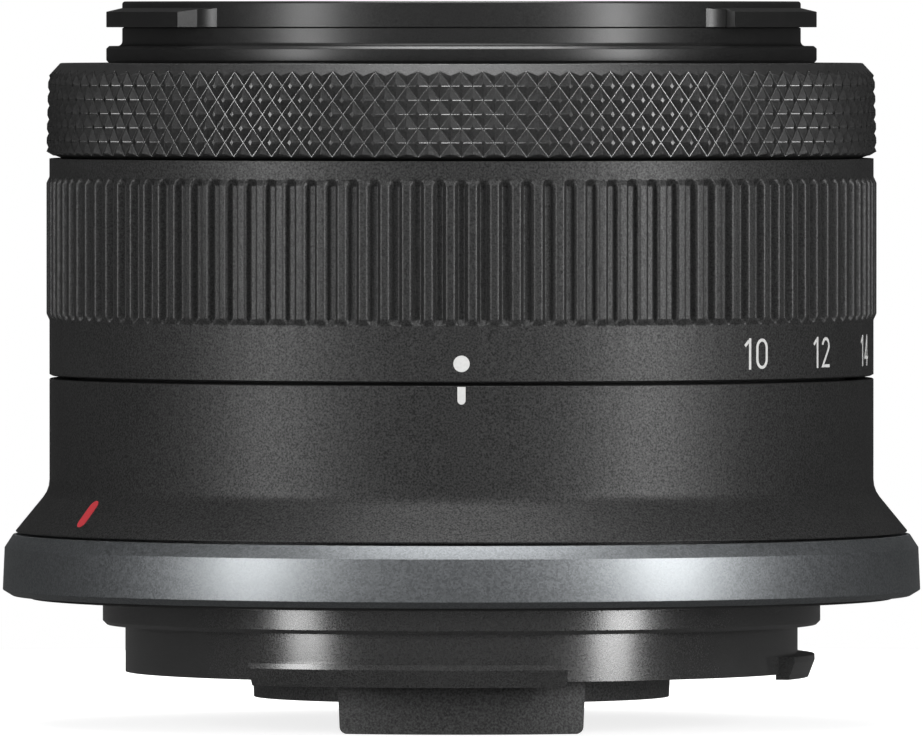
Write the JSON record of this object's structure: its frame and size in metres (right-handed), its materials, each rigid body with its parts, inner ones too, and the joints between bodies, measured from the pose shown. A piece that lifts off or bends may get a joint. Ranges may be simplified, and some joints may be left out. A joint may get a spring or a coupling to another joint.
{
  "type": "camera zoom lens",
  "caption": "Compact wide-angle zoom lens: ribbed zoom ring, knurled control ring, retracting front barrel, grey ring at the bayonet mount.",
  "frame": {"origin": "centre of the mount's flange face, on the optical axis", "axes": "+Z along the optical axis towards the front glass, -Y towards the index marks, +X to the right of them"},
  "size_m": [0.069, 0.069, 0.0543],
  "materials": {
    "black_plastic": "fine-grained matte black moulding",
    "satin_plastic": "satin black moulding",
    "blade_film": "black film",
    "grey_paint": "metallic grey paint",
    "steel": "plated",
    "aluminium": "dark anodised",
    "gold": "gold plated",
    "board": "solder resist",
    "glass": "coated"
  },
  "bodies": {
    "base": {"bayonet_mount": "black_plastic", "mount_screws": "steel", "accent_ring": "grey_paint", "rear_barrel": "black_plastic", "guide_barrel": "satin_plastic", "control_retainer": "steel", "click_spring": "steel", "ring_sensor": "black_plastic", "zoom_brush": "gold", "rear_baffle": "black_plastic", "baffle_screws": "steel", "rear_element": "glass", "rear_element_ring": "satin_plastic", "contact_block": "black_plastic", "contact_pins": "gold", "contact_flex": "gold", "circuit_board": "board", "circuit_chips": "black_plastic"},
    "zoom": {"zoom_ring": "black_plastic", "cam_barrel": "aluminium", "drive_keys": "steel", "zoom_scale": "board"},
    "control": {"control_ring": "black_plastic", "click_ring": "steel", "ring_scale": "steel"},
    "front": {"front_barrel": "satin_plastic", "front_rollers": "steel", "front_cell": "satin_plastic", "front_cell_clamp": "satin_plastic", "front_bezel": "satin_plastic", "first_element": "glass", "second_element": "glass", "third_element": "glass", "third_element_ring": "satin_plastic"},
    "rear_group": {"rear_frame": "satin_plastic", "rear_rollers": "steel", "fourth_element": "glass", "fifth_element": "glass", "iris_base": "satin_plastic", "iris_lid": "satin_plastic", "iris_motor": "steel", "focus_motor": "steel", "focus_rods": "steel", "focus_end_plate": "steel"},
    "iris_ring": {"iris_drive_ring": "steel"},
    "iris_pinion": {"iris_pinion": "gold"},
    "iris_blade_1": {"iris_blade_1": "blade_film"},
    "iris_blade_2": {"iris_blade_2": "blade_film"},
    "iris_blade_3": {"iris_blade_3": "blade_film"},
    "iris_blade_4": {"iris_blade_4": "blade_film"},
    "iris_blade_5": {"iris_blade_5": "blade_film"},
    "iris_blade_6": {"iris_blade_6": "blade_film"},
    "iris_blade_7": {"iris_blade_7": "blade_film"},
    "lead_screw": {"lead_screw": "steel"},
    "focus": {"focus_frame": "satin_plastic", "focus_element": "glass"}
  },
  "joints": [
    {"name": "zoom_turn", "type": "hinge", "parent": "base", "child": "zoom", "pos_m": [0, 0, 0.025], "axis": [0, 0, -1], "range_deg": [0, 106]},
    {"name": "front_slide", "type": "slide", "parent": "base", "child": "front", "axis": [0, 0, 1], "range_m": [0, 0.012]},
    {"name": "rear_slide", "type": "slide", "parent": "base", "child": "rear_group", "axis": [0, 0, 1], "range_m": [0, 0.005]},
    {"name": "control_turn", "type": "hinge", "parent": "base", "child": "control", "pos_m": [0, 0, 0.0365], "axis": [0, 0, 1], "continuous": true},
    {"name": "iris_turn", "type": "hinge", "parent": "rear_group", "child": "iris_ring", "pos_m": [0, 0, 0.0185], "axis": [0, 0, 1], "range_deg": [0, 20]},
    {"name": "iris_pinion_turn", "type": "hinge", "parent": "rear_group", "child": "iris_pinion", "pos_m": [0.01351, -0.0078, 0.0185], "axis": [0, 0, 1], "range_deg": [-136, 0]},
    {"name": "iris_blade_1_turn", "type": "hinge", "parent": "rear_group", "child": "iris_blade_1", "pos_m": [0.0114, 0, 0.0185], "axis": [0, 0, 1], "range_deg": [0, 25]},
    {"name": "iris_blade_2_turn", "type": "hinge", "parent": "rear_group", "child": "iris_blade_2", "pos_m": [0.00711, 0.00891, 0.0185], "axis": [0, 0, 1], "range_deg": [0, 25]},
    {"name": "iris_blade_3_turn", "type": "hinge", "parent": "rear_group", "child": "iris_blade_3", "pos_m": [-0.00254, 0.01111, 0.0185], "axis": [0, 0, 1], "range_deg": [0, 25]},
    {"name": "iris_blade_4_turn", "type": "hinge", "parent": "rear_group", "child": "iris_blade_4", "pos_m": [-0.01027, 0.00495, 0.0185], "axis": [0, 0, 1], "range_deg": [0, 25]},
    {"name": "iris_blade_5_turn", "type": "hinge", "parent": "rear_group", "child": "iris_blade_5", "pos_m": [-0.01027, -0.00495, 0.0185], "axis": [0, 0, 1], "range_deg": [0, 25]},
    {"name": "iris_blade_6_turn", "type": "hinge", "parent": "rear_group", "child": "iris_blade_6", "pos_m": [-0.00254, -0.01111, 0.0185], "axis": [0, 0, 1], "range_deg": [0, 25]},
    {"name": "iris_blade_7_turn", "type": "hinge", "parent": "rear_group", "child": "iris_blade_7", "pos_m": [0.00711, -0.00891, 0.0185], "axis": [0, 0, 1], "range_deg": [0, 25]},
    {"name": "lead_screw_turn", "type": "hinge", "parent": "rear_group", "child": "lead_screw", "pos_m": [0, 0.017, 0.005], "axis": [0, 0, 1], "range_deg": [0, 1800]},
    {"name": "focus_slide", "type": "slide", "parent": "rear_group", "child": "focus", "axis": [0, 0, 1], "range_m": [0, 0.003]}
  ],
  "couplings": [
    {"joint": "front_slide", "follows": "zoom_turn", "m_per_rad": 0.0064863},
    {"joint": "rear_slide", "follows": "zoom_turn", "m_per_rad": 0.0027026},
    {"joint": "iris_pinion_turn", "follows": "iris_turn", "ratio": -6.8},
    {"joint": "iris_blade_1_turn", "follows": "iris_turn", "ratio": 1.25},
    {"joint": "iris_blade_2_turn", "follows": "iris_turn", "ratio": 1.25},
    {"joint": "iris_blade_3_turn", "follows": "iris_turn", "ratio": 1.25},
    {"joint": "iris_blade_4_turn", "follows": "iris_turn", "ratio": 1.25},
    {"joint": "iris_blade_5_turn", "follows": "iris_turn", "ratio": 1.25},
    {"joint": "iris_blade_6_turn", "follows": "iris_turn", "ratio": 1.25},
    {"joint": "iris_blade_7_turn", "follows": "iris_turn", "ratio": 1.25},
    {"joint": "lead_screw_turn", "follows": "focus_slide", "rad_per_m": 10472}
  ]
}
